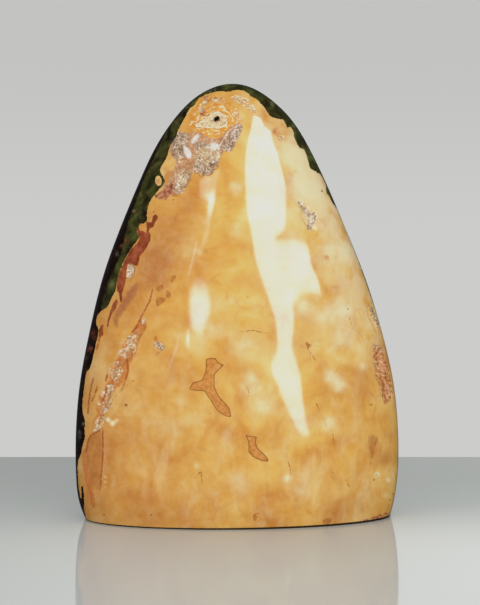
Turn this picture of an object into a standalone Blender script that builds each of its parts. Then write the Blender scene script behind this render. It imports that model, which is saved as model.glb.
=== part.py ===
# A polished freeform of two-coloured jasper: one natural stone with a domed front and back,
# a rounded tip, a flat sawn base, and shallow crystal-lined pits that the polish did not reach.
# Metres, Z up. The front faces -Y, and the base stands on Z = 0 with the origin in its middle.
import math

import bmesh
import bpy
import numpy as np
from mathutils import Matrix, Vector, noise

# Driving dimensions
HEIGHT = 0.300
SUNK = 0.012  # how far the rough block reaches below the saw cut
SLANT = 0.070  # the right end stands further back than the left by this share of the width
COLUMNS = 48
RINGS = 30

# Plan sections from the saw cut up to the tip: height, left edge, right edge, front and back
SECTIONS = (
    (0.000, -0.1050, 0.1060, -0.0580, 0.0560),
    (0.010, -0.1088, 0.1086, -0.0606, 0.0596),
    (0.028, -0.1114, 0.1112, -0.0620, 0.0618),
    (0.060, -0.1116, 0.1116, -0.0620, 0.0620),
    (0.095, -0.1086, 0.1080, -0.0604, 0.0600),
    (0.130, -0.1020, 0.0998, -0.0574, 0.0562),
    (0.165, -0.0935, 0.0888, -0.0530, 0.0512),
    (0.200, -0.0812, 0.0748, -0.0474, 0.0450),
    (0.230, -0.0690, 0.0620, -0.0408, 0.0380),
    (0.258, -0.0558, 0.0484, -0.0322, 0.0294),
    (0.280, -0.0404, 0.0332, -0.0224, 0.0202),
    (0.292, -0.0272, 0.0192, -0.0143, 0.0128),
    (0.300, -0.0036, -0.0036, 0.0000, 0.0000),
)

# Pits: place across and up, half width, half height, depth, and turn in degrees seen from outside
FRONT_PITS = {
    "tip_vug": (-0.0147, 0.2722, 0.0026, 0.0020, 0.0060, 0),
    "tip_pocket": (-0.0275, 0.2480, 0.0160, 0.0076, 0.0018, 38),
    "tip_pocket_left": (-0.0377, 0.2298, 0.0052, 0.0082, 0.0028, -16),
    "tip_pocket_right": (-0.0222, 0.2376, 0.0078, 0.0050, 0.0026, 18),
    "left_druse_high": (-0.0662, 0.1290, 0.0034, 0.0086, 0.0020, -26),
    "left_druse_mid": (-0.0762, 0.1114, 0.0038, 0.0088, 0.0022, -48),
    "left_druse_low": (-0.0888, 0.0860, 0.0036, 0.0190, 0.0022, -18),
    "left_green_spot": (-0.0716, 0.1688, 0.0030, 0.0052, 0.0014, -25),
    "right_patch": (0.0468, 0.2050, 0.0044, 0.0086, 0.0014, 18),
    "right_edge_druse": (0.0915, 0.1385, 0.0036, 0.0098, 0.0016, 20),
    "right_vug_high": (0.0972, 0.1090, 0.0050, 0.0112, 0.0032, 14),
    "right_vug_low": (0.1006, 0.0905, 0.0042, 0.0098, 0.0028, 18),
}
BACK_PITS = {
    "back_hollow_high": (0.0240, 0.2040, 0.0062, 0.0110, 0.0030, 24),
    "back_hollow_low": (-0.0430, 0.0860, 0.0130, 0.0064, 0.0032, 15),
}
PIT_RAGGED = 0.30  # how far a pit's rim wanders, as a share of its half width


def spline(knots, values):
    # a natural cubic spline, smooth in slope and curvature
    x, y = np.array(knots), np.array(values)
    n, h = len(x), np.diff(x)
    left, right = np.eye(n), np.zeros(n)
    for i in range(1, n - 1):
        left[i, i - 1 : i + 2] = h[i - 1], 2 * (h[i - 1] + h[i]), h[i]
        right[i] = 6 * ((y[i + 1] - y[i]) / h[i] - (y[i] - y[i - 1]) / h[i - 1])
    bend = np.linalg.solve(left, right)

    def at(z):
        i = min(max(int(np.searchsorted(x, z)) - 1, 0), n - 2)
        a, b = x[i + 1] - z, z - x[i]
        curve = (bend[i] * a**3 + bend[i + 1] * b**3) / (6 * h[i])
        start = (y[i] / h[i] - bend[i] * h[i] / 6) * a
        end = (y[i + 1] / h[i] - bend[i + 1] * h[i] / 6) * b
        return float(curve + start + end)

    return at


heights = [row[0] for row in SECTIONS]
middle_at = spline(heights, [(row[1] + row[2]) / 2 for row in SECTIONS])
# The squares of the reaches run straight into the tip, which makes it round
half_at = spline(heights, [((row[2] - row[1]) / 2) ** 2 for row in SECTIONS])
front_at = spline(heights, [row[3] ** 2 for row in SECTIONS])
back_at = spline(heights, [row[4] ** 2 for row in SECTIONS])


def reach(square_at, z):
    return math.sqrt(max(square_at(z), 0.0))


def stone_point(angle, z):
    # a point of the outer surface; the angle runs from the right end round the back
    level = min(max(z, 0.0), HEIGHT)
    x = middle_at(level) + reach(half_at, level) * math.cos(angle)
    deep = back_at if math.sin(angle) > 0 else front_at
    return Vector((x, SLANT * x + reach(deep, level) * math.sin(angle), z))


def face_point(x, z, side):
    # the point of the front (side -1) or back (side 1) at a place seen straight on, and the outward way
    def at(x, z):
        share = (x - middle_at(z)) / reach(half_at, z)
        return stone_point(side * math.acos(min(max(share, -1.0), 1.0)), z)

    step = 0.0005
    across = at(x + step, z) - at(x - step, z)
    up = at(x, z + step) - at(x, z - step)
    return at(x, z), -side * across.cross(up).normalized()


def new_object(name, mesh, collection):
    made = bpy.data.objects.new(name, mesh)
    collection.objects.link(made)
    return made


def make_stone(collection):
    bm = bmesh.new()
    bmesh.ops.create_uvsphere(bm, u_segments=COLUMNS, v_segments=RINGS, radius=1)
    for vert in bm.verts:
        z = -SUNK + (HEIGHT + SUNK) * (vert.co.z + 1) / 2
        vert.co = stone_point(math.atan2(vert.co.y, vert.co.x), z)
    # the saw cut that makes the flat base
    everything = bm.verts[:] + bm.edges[:] + bm.faces[:]
    cut = bmesh.ops.bisect_plane(
        bm, geom=everything, plane_co=(0, 0, 0), plane_no=(0, 0, 1), clear_inner=True
    )
    rim = [item for item in cut["geom_cut"] if isinstance(item, bmesh.types.BMEdge)]
    bmesh.ops.edgeloop_fill(bm, edges=rim)
    bmesh.ops.recalc_face_normals(bm, faces=bm.faces)
    mesh = bpy.data.meshes.new("jasper_stone")
    bm.to_mesh(mesh)
    bm.free()
    stone = new_object("jasper_stone", mesh, collection)
    mesh.shade_smooth()
    mesh.set_sharp_from_angle(angle=math.radians(35))
    return stone


def make_pit(name, place, side, collection):
    x, z, half_width, half_height, depth, turn = place
    centre, outward = face_point(x, z, side)
    bm = bmesh.new()
    bmesh.ops.create_icosphere(bm, subdivisions=3, radius=1)
    for vert in bm.verts:
        vert.co *= 1 + PIT_RAGGED * noise.noise(1.6 * vert.co + 100 * centre)
    mesh = bpy.data.meshes.new(name)
    bm.to_mesh(mesh)
    bm.free()
    cutter = new_object(name, mesh, collection)
    frame = outward.to_track_quat("-Y", "Z").to_matrix().to_4x4()
    spin = Matrix.Rotation(math.radians(-turn), 4, "Y")
    size = Matrix.Diagonal((half_width, depth, half_height, 1))
    mesh.transform(Matrix.Translation(centre) @ frame @ spin @ size)
    cutter.display_type = "WIRE"
    cutter.hide_render = True
    return cutter


def jasper():
    # polished jasper, mostly its orange-yellow front
    material = bpy.data.materials.new("polished_jasper")
    material.use_nodes = True
    shader = material.node_tree.nodes["Principled BSDF"]
    shader.inputs["Base Color"].default_value = (0.70, 0.42, 0.12, 1)
    shader.inputs["Roughness"].default_value = 0.08
    shader.inputs["Metallic"].default_value = 0.0
    shader.inputs["IOR"].default_value = 1.54
    return material


for old in list(bpy.data.objects):
    bpy.data.objects.remove(old)
parts = bpy.data.collections.new("bicolor_jasper")
cutters = bpy.data.collections.new("pit_cutters")
for made in (parts, cutters):
    bpy.context.scene.collection.children.link(made)

stone = make_stone(parts)
stone.data.materials.append(jasper())
for side, pits in ((-1, FRONT_PITS), (1, BACK_PITS)):
    for name, place in pits.items():
        cut = stone.modifiers.new(name, "BOOLEAN")
        cut.operation = "DIFFERENCE"
        cut.object = make_pit(name, place, side, cutters)
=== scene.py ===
# Two-coloured jasper freeform: one polished stone, golden jasper in front and a dark green rind
# behind, with crystal-lined pits. Metres, Z up, the front faces -Y.
import bpy
import math
import numpy as np
from mathutils import Matrix, Vector, noise


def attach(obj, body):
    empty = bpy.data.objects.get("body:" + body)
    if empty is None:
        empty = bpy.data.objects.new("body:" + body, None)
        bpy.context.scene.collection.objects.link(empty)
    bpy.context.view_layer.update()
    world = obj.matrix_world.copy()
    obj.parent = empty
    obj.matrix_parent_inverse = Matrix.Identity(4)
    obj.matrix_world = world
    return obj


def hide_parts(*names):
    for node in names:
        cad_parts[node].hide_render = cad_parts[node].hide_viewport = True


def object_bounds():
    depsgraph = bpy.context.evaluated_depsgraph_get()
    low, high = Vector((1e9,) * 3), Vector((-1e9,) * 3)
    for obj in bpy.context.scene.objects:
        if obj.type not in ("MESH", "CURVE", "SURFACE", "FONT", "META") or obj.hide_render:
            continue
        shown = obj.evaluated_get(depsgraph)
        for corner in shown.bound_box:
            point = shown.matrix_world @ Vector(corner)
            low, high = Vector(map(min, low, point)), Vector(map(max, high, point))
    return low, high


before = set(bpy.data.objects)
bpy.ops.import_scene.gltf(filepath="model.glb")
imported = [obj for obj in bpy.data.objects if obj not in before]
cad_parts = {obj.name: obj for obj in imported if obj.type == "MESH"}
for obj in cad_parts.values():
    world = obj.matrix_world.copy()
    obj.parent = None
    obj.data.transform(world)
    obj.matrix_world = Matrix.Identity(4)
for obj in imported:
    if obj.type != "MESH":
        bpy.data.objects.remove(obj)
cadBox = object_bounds()
print("frame loaded")

# The photograph's camera; pixel places below are in its 480x605 picture
photo = {
    "wide": 480,
    "high": 605,
    "lens": 85.0,
    "sensor": 36.0,
    "distance": 0.991,
    "height": 0.1484,
    "across": 0.0012,
    "pixelMm": 0.67,  # what one pixel spans on the front of the stone
    "farPixels": 15,  # past this, gaps are not measured
}
focal = photo["lens"] / photo["sensor"] * photo["high"]


def addCamera():
    bpy.ops.object.camera_add(
        location=(photo["across"], -photo["distance"], photo["height"]),
        rotation=(math.radians(90), 0, 0),
    )
    camera = bpy.context.object
    camera.name = "photoCamera"
    camera.data.lens = photo["lens"]
    camera.data.sensor_width = photo["sensor"]
    bpy.context.scene.camera = camera


def deselectAll():
    for thing in bpy.context.selected_objects:
        thing.select_set(False)


# The stone's form: plan sections from the saw cut to the tip (height, left, right, front, back)
form = {
    "sections": (
        (0.000, -0.1050, 0.1060, -0.0580, 0.0560),
        (0.010, -0.1088, 0.1086, -0.0606, 0.0596),
        (0.028, -0.1114, 0.1112, -0.0620, 0.0618),
        (0.060, -0.1116, 0.1116, -0.0620, 0.0620),
        (0.095, -0.1086, 0.1080, -0.0604, 0.0600),
        (0.130, -0.1020, 0.0998, -0.0574, 0.0562),
        (0.165, -0.0935, 0.0888, -0.0530, 0.0512),
        (0.200, -0.0812, 0.0748, -0.0474, 0.0450),
        (0.230, -0.0690, 0.0620, -0.0408, 0.0380),
        (0.258, -0.0558, 0.0484, -0.0322, 0.0294),
        (0.280, -0.0404, 0.0332, -0.0224, 0.0202),
        (0.292, -0.0272, 0.0192, -0.0143, 0.0128),
        (0.300, -0.0036, -0.0036, 0.0000, 0.0000),
    ),
    "height": 0.300,
    "slant": 0.070,
    "rim": 0.0008,  # the ground edge round the saw cut
    "baseReach": 0.105,
    "frontColumns": 128,
    "backColumns": 44,
    "baseRings": 6,
    "rimRings": 3,
    "sideRings": 190,
    "fineSteps": 4000,  # along the outline, to space the side rings
    # how near a marking's edge or raw crystal, in millimetres, the mesh gets more points
    "edgeNear": 1.4,
    "rawNear": 1.2,
    "rawClose": 0.5,
}

# Pits: place across and up, half width, half height, depth, and turn in degrees seen from outside
pits = {
    "front": (
        (-0.0147, 0.2722, 0.0026, 0.0020, 0.0060, 0),
        (-0.0275, 0.2480, 0.0160, 0.0076, 0.0018, 38),
        (-0.0377, 0.2298, 0.0052, 0.0082, 0.0028, -16),
        (-0.0222, 0.2376, 0.0078, 0.0050, 0.0026, 18),
        (-0.0662, 0.1290, 0.0034, 0.0086, 0.0020, -26),
        (-0.0762, 0.1114, 0.0038, 0.0088, 0.0022, -48),
        (-0.0888, 0.0860, 0.0036, 0.0190, 0.0022, -18),
        (-0.0716, 0.1688, 0.0030, 0.0052, 0.0014, -25),
        (0.0468, 0.2050, 0.0044, 0.0086, 0.0014, 18),
        (0.0915, 0.1385, 0.0036, 0.0098, 0.0016, 20),
        (0.0972, 0.1090, 0.0050, 0.0112, 0.0032, 14),
        (0.1006, 0.0905, 0.0042, 0.0098, 0.0028, 18),
    ),
    "back": (
        (0.0240, 0.2040, 0.0062, 0.0110, 0.0030, 24),
        (-0.0430, 0.0860, 0.0130, 0.0064, 0.0032, 15),
    ),
    "ragged": 0.30,
    "lumps": 1.6,
    "near": 1.6,  # how far from its middle a pit is worked, in half sizes
    "grain": 0.00045,  # how far the druse crystals stand proud of a pit's floor
    "grainSize": 0.0011,
    "crystal": (1.4, 0.5, 0.45),  # what cells and clouds give, and how coarse the clouds are
    # how far past its edge, in millimetres, a raw marking has crystals, and over what they rise
    "rawPast": 0.4,
    "rawRise": 0.6,
    "shallow": 0.0002,
    "deep": 0.0004,  # from here on the crystals of a pit stand in full
}


def splineThrough(knots, values):
    # a natural cubic spline, smooth in slope and curvature
    x, y = np.array(knots), np.array(values)
    n, h = len(x), np.diff(x)
    left, right = np.eye(n), np.zeros(n)
    for i in range(1, n - 1):
        left[i, i - 1 : i + 2] = h[i - 1], 2 * (h[i - 1] + h[i]), h[i]
        right[i] = 6 * ((y[i + 1] - y[i]) / h[i] - (y[i] - y[i - 1]) / h[i - 1])
    bend = np.linalg.solve(left, right)

    def at(z):
        z = np.asarray(z, float)
        i = np.clip(np.searchsorted(x, z) - 1, 0, n - 2)
        a, b, step = x[i + 1] - z, z - x[i], h[i]
        curve = (bend[i] * a**3 + bend[i + 1] * b**3) / (6 * step)
        start = (y[i] / step - bend[i] * step / 6) * a
        return curve + start + (y[i + 1] / step - bend[i + 1] * step / 6) * b

    return at


rows = form["sections"]
heights = [row[0] for row in rows]
middleAt = splineThrough(heights, [(row[1] + row[2]) / 2 for row in rows])
# the squares of the reaches run straight into the tip, which makes it round
halfAt = splineThrough(heights, [((row[2] - row[1]) / 2) ** 2 for row in rows])
frontAt = splineThrough(heights, [row[3] ** 2 for row in rows])
backAt = splineThrough(heights, [row[4] ** 2 for row in rows])


def stonePoints(angle, z, share=1.0):
    # points of the surface; the angle runs from the right end round the back
    level = np.clip(z, 0, form["height"])
    half = np.sqrt(np.maximum(halfAt(level), 0)) * share
    front = np.sqrt(np.maximum(frontAt(level), 0)) * share
    back = np.sqrt(np.maximum(backAt(level), 0)) * share
    x = middleAt(level) + half * np.cos(angle)
    deep = np.where(np.sin(angle) > 0, back, front)
    return np.stack((x, form["slant"] * x + deep * np.sin(angle), z), axis=-1)


def facePoints(x, z, side):
    # points of the front (-1) or back (1) at places seen straight on, and the outward ways
    def at(x, z):
        share = (x - middleAt(z)) / np.sqrt(np.maximum(halfAt(z), 1e-9))
        return stonePoints(side * np.arccos(np.clip(share, -1, 1)), z)

    step = 0.0005
    across = at(x + step, z) - at(x - step, z)
    up = at(x, z + step) - at(x, z - step)
    outward = -side * np.cross(across, up)
    return at(x, z), outward / np.linalg.norm(outward, axis=-1, keepdims=True)


def ringTable():
    # height and share of reach of every ring, from the middle of the base to the tip
    rim, reach = form["rim"], form["baseReach"]
    base = [(0.0, (1 - rim / reach) * i / form["baseRings"]) for i in range(form["baseRings"] + 1)]
    for i in range(1, form["rimRings"] + 1):
        turn = math.pi / 2 * i / form["rimRings"]
        base.append((rim * (1 - math.cos(turn)), 1 - rim / reach * (1 - math.sin(turn))))
    # the side rings are spaced evenly along the right and front outlines
    z = rim + (form["height"] - rim) * np.linspace(0, 1, form["fineSteps"]) ** 0.5
    outline = stonePoints(np.zeros(len(z)), z)
    ridge = stonePoints(np.full(len(z), -math.pi / 2), z)
    runs = [np.linalg.norm(np.diff(line, axis=0), axis=1) for line in (outline, ridge)]
    along = np.concatenate(([0], np.cumsum(runs[0] + runs[1])))
    even = np.linspace(0, along[-1], form["sideRings"] + 1)
    return base + [(float(level), 1.0) for level in np.interp(even[1:], along, z)]


def valuesOf(items, key, wide=3, kind=float):
    values = np.zeros(len(items) * wide, kind)
    items.foreach_get(key, values)
    return values.reshape(-1, wide) if wide > 1 else values


def verticesOf(thing):
    return valuesOf(thing.data.vertices, "co")


def moveVertices(thing, spots):
    thing.data.vertices.foreach_set("co", spots.ravel())
    thing.data.update()


def addLayer(thing, name, values):
    layer = thing.data.attributes.new(name, "FLOAT", "POINT")
    layer.data.foreach_set("value", values.astype(np.float32))


def makeStone():
    rings = ringTable()
    columns = form["frontColumns"] + form["backColumns"]
    deselectAll()
    bpy.ops.mesh.primitive_uv_sphere_add(segments=columns, ring_count=len(rings) - 1, radius=1)
    stone = bpy.context.object
    stone.name = stone.data.name = "polishedJasper"
    ball = verticesOf(stone)
    slope = np.arccos(np.clip(-ball[:, 2], -1, 1)) / math.pi
    ring = np.rint(slope * (len(rings) - 1)).astype(int)
    turn = np.arctan2(ball[:, 1], ball[:, 0])
    column = np.rint(np.mod(turn, 2 * math.pi) / (2 * math.pi) * columns).astype(int) % columns
    # the first columns go round the back, the closer ones across the front
    behind = column <= form["backColumns"]
    angle = np.where(
        behind,
        math.pi * column / form["backColumns"],
        math.pi * (1 + (column - form["backColumns"]) / form["frontColumns"]),
    )
    table = np.array(rings)
    spots = stonePoints(angle, table[ring, 0], table[ring, 1])
    # the solid is faceted, so the smooth skin shrinks by a hair to stay in its box
    low, high = np.array(cadBox[0]), np.array(cadBox[1])
    lowest, highest = spots.min(axis=0), spots.max(axis=0)
    moveVertices(stone, low + (spots - lowest) * (high - low) / (highest - lowest))
    bpy.ops.object.shade_smooth()
    return stone


# The stone's markings, given in the photograph's pixels: across, down, across, down.
# Closed outlines; what is only colour isn't raised.
zones = {
    # the golden jasper's edge, and its small island in the rind
    "jasper": (
        (
            249, 94, 245, 91, 240, 90, 234, 90, 230, 91.6, 226, 91.8, 220, 91, 213, 92.3, 204.5, 95, 198,
            99, 194, 106, 189, 109, 186, 116, 181, 124, 178, 130, 176.4, 137, 171, 143.5, 168.6, 150, 167,
            157, 164, 162, 160.6, 168, 160.3, 173, 163.5, 177, 165.5, 183, 158, 190.5, 152.5, 197.5, 148.2,
            204.5, 146.7, 214, 147.3, 220, 144, 223.6, 140.3, 223.6, 137, 229.6, 137.3, 234, 140, 236.7,
            136, 242, 131, 249, 126, 257, 121.4, 267, 119, 273, 116.7, 284, 115.6, 291, 111, 299, 108, 307,
            100.6, 311, 96.6, 317, 95.8, 324, 98.6, 329, 98, 336, 96, 343, 94.5, 352, 91.4, 363, 90, 368.5,
            86, 372.5, 84.8, 382, 82.8, 397, 82.2, 411, 85.6, 422, 84.2, 430, 85.4, 437, 82.8, 444, 80.8,
            455, 78.6, 459, 77.4, 466, 78, 478, 78.6, 486, 79.2, 492, 80.2, 497.6, 81.2, 498.8, 81.7, 496,
            81.2, 490, 81.2, 486.2, 82.8, 486, 83.6, 491, 84.2, 497, 84.4, 504, 84, 508.6, 84.8, 513, 85.4,
            516, 84, 560, 420, 560, 400, 520, 397.5, 470, 399, 440, 398.4, 412, 396, 392, 392, 368, 388,
            350, 384.4, 337, 380.5, 325, 374, 305, 369, 291.5, 363.5, 275, 354.5, 251, 345, 227, 340, 216,
            336.6, 208, 332.4, 203, 329.4, 196, 325.7, 192.6, 326.5, 187, 324.3, 182, 321.5, 175, 316.4,
            171.7, 309.8, 168.6, 309, 163, 306.8, 156.5, 304, 148.6, 300.4, 149.2, 297, 144, 294, 137,
            293.5, 131.5, 290, 126.4, 287.4, 128, 285.6, 124, 283, 119.6, 278.7, 119, 270.3, 117, 264.7,
            107.7, 257, 99.3, 251, 96.6,
        ),
        (158.6, 175, 161.8, 179, 161, 185, 157.6, 186.4, 155, 182, 155.6, 177),
    ),
    # painted shade: the near-black strip along the left edge, where the rind's side turns away from the light
    "night": (
        (
            172, 110, 166.5, 130, 157, 150, 143.8, 180, 136.5, 200, 127.6, 225, 122.7, 250, 114.5, 268, 107,
            285, 101.7, 305, 104, 316, 112, 330, 112, 540, 40, 540, 40, 110,
        ),
    ),
    # the red-brown band along the rind
    "red": (
        (
            146.4, 221.2, 149, 222.6, 152, 222, 152.6, 216.6, 155.6, 213.8, 158, 216, 157.6, 219.4, 154.4,
            223.6, 153.8, 227, 149.6, 228.8, 148.2, 232, 151, 234, 150, 241, 145.7, 250, 139.8, 255.6,
            138.6, 262.5, 137.6, 266.6, 128.8, 263, 126.6, 268, 126, 278.6, 124.6, 286, 121.8, 294, 122.6,
            300, 121.4, 304.4, 119.6, 299, 118.6, 292, 116.6, 290.6, 116.8, 284.8, 118, 276, 122.4, 266,
            126, 258, 130.5, 250, 137.7, 242.9, 140.4, 237.5, 137.7, 234.2, 137, 229.5, 138.6, 226, 139.5,
            230.4, 143, 230.6, 145.9, 233.2, 147, 229.5, 146.4, 224,
        ),
        (
            117, 298, 117.6, 303, 115.6, 309, 112, 314, 109.6, 320, 108.2, 327, 106.6, 327, 108, 318, 110.6,
            310, 113, 303,
        ),
        (104, 324, 102.6, 328, 103.6, 334, 100.4, 338, 98.6, 336, 99, 330, 101, 325),
    ),
    # broken, rusty patches
    "rust": (
        (
            178, 184, 176, 190, 171.4, 194.6, 164, 200, 159.4, 199, 155, 197.6, 158, 193.6, 163, 189.4, 168,
            184.6, 172, 183, 174.6, 187, 176.4, 183.4,
        ),
        (201.6, 108, 205.6, 111, 204.6, 115.6, 200.4, 116.6, 199, 113),
        (204, 97, 208, 95.4, 209, 99, 205, 102),
        (121, 525, 132, 527.4, 140, 529, 140, 531, 121, 528),
        (364, 520, 373, 517, 382, 514.4, 389, 511.6, 390.6, 514, 381, 517.4, 371, 520.4, 364, 522.4),
    ),
    # crisp brown leaves and smudges
    "leaf": (
        (169.4, 281.6, 171.6, 276, 175, 273.4, 176.8, 276.6, 173.4, 282, 170, 283.6),
        (156, 287.6, 159, 285, 163.6, 284.6, 163.6, 288.6, 159, 292, 156.4, 291),
        (165.4, 292, 168, 289.6, 171, 292.6, 170.4, 298, 166, 298),
        (156.4, 297, 162, 297.4, 168, 299, 162, 304, 157, 308, 155.6, 302),
        (304.6, 342, 307.4, 341.4, 308.6, 344, 312, 345, 309, 347, 308.6, 350, 306.6, 346),
        (263.4, 508, 262, 512, 258, 514.4, 256.6, 521, 253.8, 521.6, 252, 514, 258, 513),
        (321.6, 521, 325, 518.6, 332, 517, 331.4, 522, 328, 524.6, 322, 524),
        (137.6, 514, 140, 513.4, 140.6, 518, 139, 522.6, 137.6, 519),
        (326.6, 451.4, 330, 451, 334, 453.4, 331, 454),
        (368.6, 404.4, 372, 403, 374.6, 402, 373, 405, 369.6, 406),
        (204, 258, 206, 259, 205, 262, 203, 261),
    ),
    # soft mauve-brown stains
    "mauve": (
        (139, 283, 137, 292, 131, 302, 122, 314, 114, 322, 112.6, 317, 120, 304, 127, 292, 133, 284),
        (114, 318, 119, 322, 117, 328, 113, 324),
    ),
    # soft brown stains
    "brown": (
        (87, 438, 93, 433.6, 101.6, 431, 102.8, 450, 101, 472, 99, 489, 94, 489, 88, 470, 86, 452),
        (166, 170, 173, 171, 176, 178, 172, 186, 164, 188, 163, 180),
        (368.4, 435, 376, 435, 378, 441, 375, 449, 373, 458, 370.6, 459, 369, 447),
    ),
    # orange-brown ground, first that of the broken white seam
    "ember": (
        (
            139, 318, 147, 320, 142, 332, 138, 345, 134, 358, 128, 366, 124, 378, 117, 388, 110, 398, 106,
            412, 101, 424, 95, 432, 92, 426, 97, 414, 99, 402, 104, 390, 110, 378, 112, 368, 119, 356, 122,
            346, 129, 336, 135, 326,
        ),
        (
            82, 452, 86, 447, 88.6, 453, 88.6, 466, 90.6, 480, 93, 492, 96, 506, 91.6, 508, 89, 496, 85.6,
            482, 82.6, 468,
        ),
        (120, 360, 126, 359, 130, 366, 128, 375, 123, 383, 118, 388, 117, 384, 121, 376),
        (109.8, 372, 115, 373, 115.4, 381, 110.6, 386, 107.6, 383, 110, 377),
        (99, 395, 104, 392, 105, 398, 101, 405, 98, 401),
        (97.6, 404, 99.6, 408, 98, 414, 96, 410),
        (142, 325, 147, 324, 147.6, 329, 142.6, 331),
        (155, 334, 158, 337, 157, 342, 153.6, 340),
        (272, 129, 276, 128.6, 276.6, 133, 272.6, 135),
        (325, 255, 329, 257, 328, 260.4, 325, 259),
        (175, 190, 179, 192, 178, 196, 172, 197),
    ),
    # the pinkish raw ground of the pocket under the tip
    "pocket": (
        (
            179, 130, 186, 133, 196, 131.5, 203, 133, 208.5, 138.4, 219.8, 138.5, 225.4, 131.5, 233.8,
            124.5, 242.2, 123.6, 242, 130, 236.6, 140, 233.8, 147, 229.6, 152.6, 224, 149.8, 221.2, 156.8,
            218.4, 163.8, 212.7, 173.6, 205.7, 176.4, 198.7, 172.2, 193, 172.2, 190.3, 179.2, 186, 186.2,
            181.9, 193.2, 177.7, 193.2, 172, 194.6, 163.7, 200, 158, 198.8, 155.2, 197.4, 162.3, 187.6,
            169.3, 180.6, 172, 172.2, 176.3, 161, 170.7, 155.4, 169.3, 148.4, 172, 140,
        ),
    ),
    # painted highlights: near-white glints on smooth quartz inside the pocket, which the polish has reached
    "glint": (
        (183.6, 146, 188, 147.6, 191.6, 154, 190.4, 158, 186, 157, 183.4, 151),
        (190.6, 142, 193, 137.4, 198, 133.6, 199.4, 136, 196, 140.6, 192.6, 144),
        (210, 144, 213.6, 142, 219, 144.6, 219.4, 149, 214, 150.6, 211, 148),
    ),
    # crisp brown inclusions with a dark outline
    "shard": (
        (
            206, 359.5, 210, 357.8, 215.6, 358.2, 218, 362, 224, 365, 220, 369, 214.7, 374, 214.3, 386, 218,
            395, 223, 401, 229, 407, 231.5, 417, 226, 416.4, 220.5, 413, 215.6, 409, 211, 401, 207, 395,
            204, 390.8, 196.5, 390.8, 189, 389.4, 193, 382, 197, 381.6, 201.5, 380.2, 205, 373.6, 206, 366,
        ),
        (
            245.4, 434.6, 251, 436.4, 257.2, 436.4, 255.6, 442, 257.8, 448.7, 262.8, 452.8, 268, 458.6, 268,
            461.6, 261, 460.7, 253, 457, 248.6, 452, 248.4, 442,
        ),
    ),
    # grey-brown crystals
    "druse": (
        (178, 131, 185, 133, 190, 137, 188, 145, 187, 156, 181, 159, 175, 158, 170, 153, 171, 145),
        (
            243, 123.6, 241, 131, 238, 139, 234, 146, 230, 152.6, 224, 151, 219, 147, 225, 138, 229, 131,
            236, 126,
        ),
        (
            195, 139, 206, 143, 216, 146, 222, 150, 219.6, 158, 217, 166, 212, 173, 205, 175, 197, 173, 193,
            168, 196, 158,
        ),
        (177, 171, 184, 167.6, 190, 172, 188, 179, 186, 187, 181, 193, 176, 195, 173, 190, 175, 181),
        (
            296.5, 201, 300, 201, 304, 206, 309, 211, 316, 213, 317.6, 218, 314, 224, 311, 230.6, 307, 231,
            308, 221, 305, 214,
        ),
        (367.5, 303, 371, 304, 374, 310, 378, 318, 381, 327, 378.5, 328, 374, 320, 370, 312),
        (154, 341, 160, 342, 165, 346, 163, 350.4, 158, 350.4, 154.5, 346),
        (129, 264, 134, 266, 135.5, 271, 132, 276.4, 129, 279, 126.5, 275, 127, 269),
    ),
    # white crystals
    "white": (
        (141, 319, 145, 318, 147, 322, 144, 325, 141, 323),
        (137, 328, 141, 329, 140, 334, 137, 337, 135.6, 333),
        (
            118, 354, 121, 347, 126, 343, 128, 336, 134, 333, 139, 330, 139, 336, 136, 342, 136, 350, 131,
            356, 127, 359, 121, 359,
        ),
        (110, 366, 114, 361, 119, 361, 122, 366, 124, 372, 120, 378, 117, 384, 113, 381, 110, 374),
        (103, 388, 108, 384, 113, 384, 114, 390, 111, 396, 108, 402, 103, 400, 100, 396),
        (99, 400, 105, 400, 111, 401, 112, 406, 107, 412, 101, 414, 98, 408),
        (97, 418, 102, 415, 105, 419, 103, 425, 98, 431, 94, 434, 93, 428, 95, 422),
        (230, 98, 236, 95, 243, 97, 250, 100, 253, 106, 258, 112, 252, 112, 246, 107, 238, 103),
        (211, 97, 218, 96, 228, 99, 222, 102.6, 213, 102),
        (197, 112, 199, 106, 204, 100, 208, 97, 212, 98, 209, 102, 205, 107, 202, 113),
        (236, 108, 239, 112, 241, 118, 243, 124, 239, 126, 236, 120, 234, 113),
        (175.4, 171, 183, 169.6, 189, 172, 188, 178, 184.6, 186, 180, 190, 175.6, 190, 175, 181),
        (200, 149, 209, 146, 218, 150, 220, 157, 216.6, 162, 205, 164, 196, 162, 197, 155),
        (278, 135, 283, 136, 284, 139.6, 279, 140),
        (372, 345.6, 375, 343, 377.4, 346, 376.6, 352, 373.4, 352),
        (382, 347, 384.6, 350.4, 384.2, 355.6, 381.8, 353),
        (387.6, 385, 391, 389, 390, 394, 387.4, 391),
        (374, 361, 377, 364, 377, 369, 374.6, 368),
    ),
    # the raw red-brown vug at the right edge
    "vug": (
        (
            373, 346, 377, 345, 381, 348, 384.6, 353, 384, 358, 387, 364, 391, 375, 391.6, 386, 392, 397,
            388, 404.6, 384, 404, 381, 394, 380, 386, 376, 377, 374.4, 368, 374, 358, 372.4, 351,
        ),
    ),
    # the hole near the tip, coloured near-black as painted shade inside it
    "hole": (
        (212.8, 119, 214.8, 117, 217.6, 116, 219.4, 116.4, 219.8, 119, 217.4, 120.8, 214, 121.6),
    ),
    # the pointed eye round the hole
    "eye": (
        (
            193.6, 126, 199, 122.6, 205.6, 119.6, 210, 115, 214, 112.6, 219, 112, 224, 115, 228, 120, 226.6,
            125, 220, 128, 207, 127.6,
        ),
    ),
    # the banded zone round the eye
    "tipZone": (
        (
            190, 127, 188, 119, 192, 110, 199, 101, 206, 96, 213, 94.6, 222, 98, 230, 103, 236, 109, 240,
            117, 238, 125, 232, 130, 225, 135, 214, 138.6, 204, 137, 197, 133,
        ),
    ),
}
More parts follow.
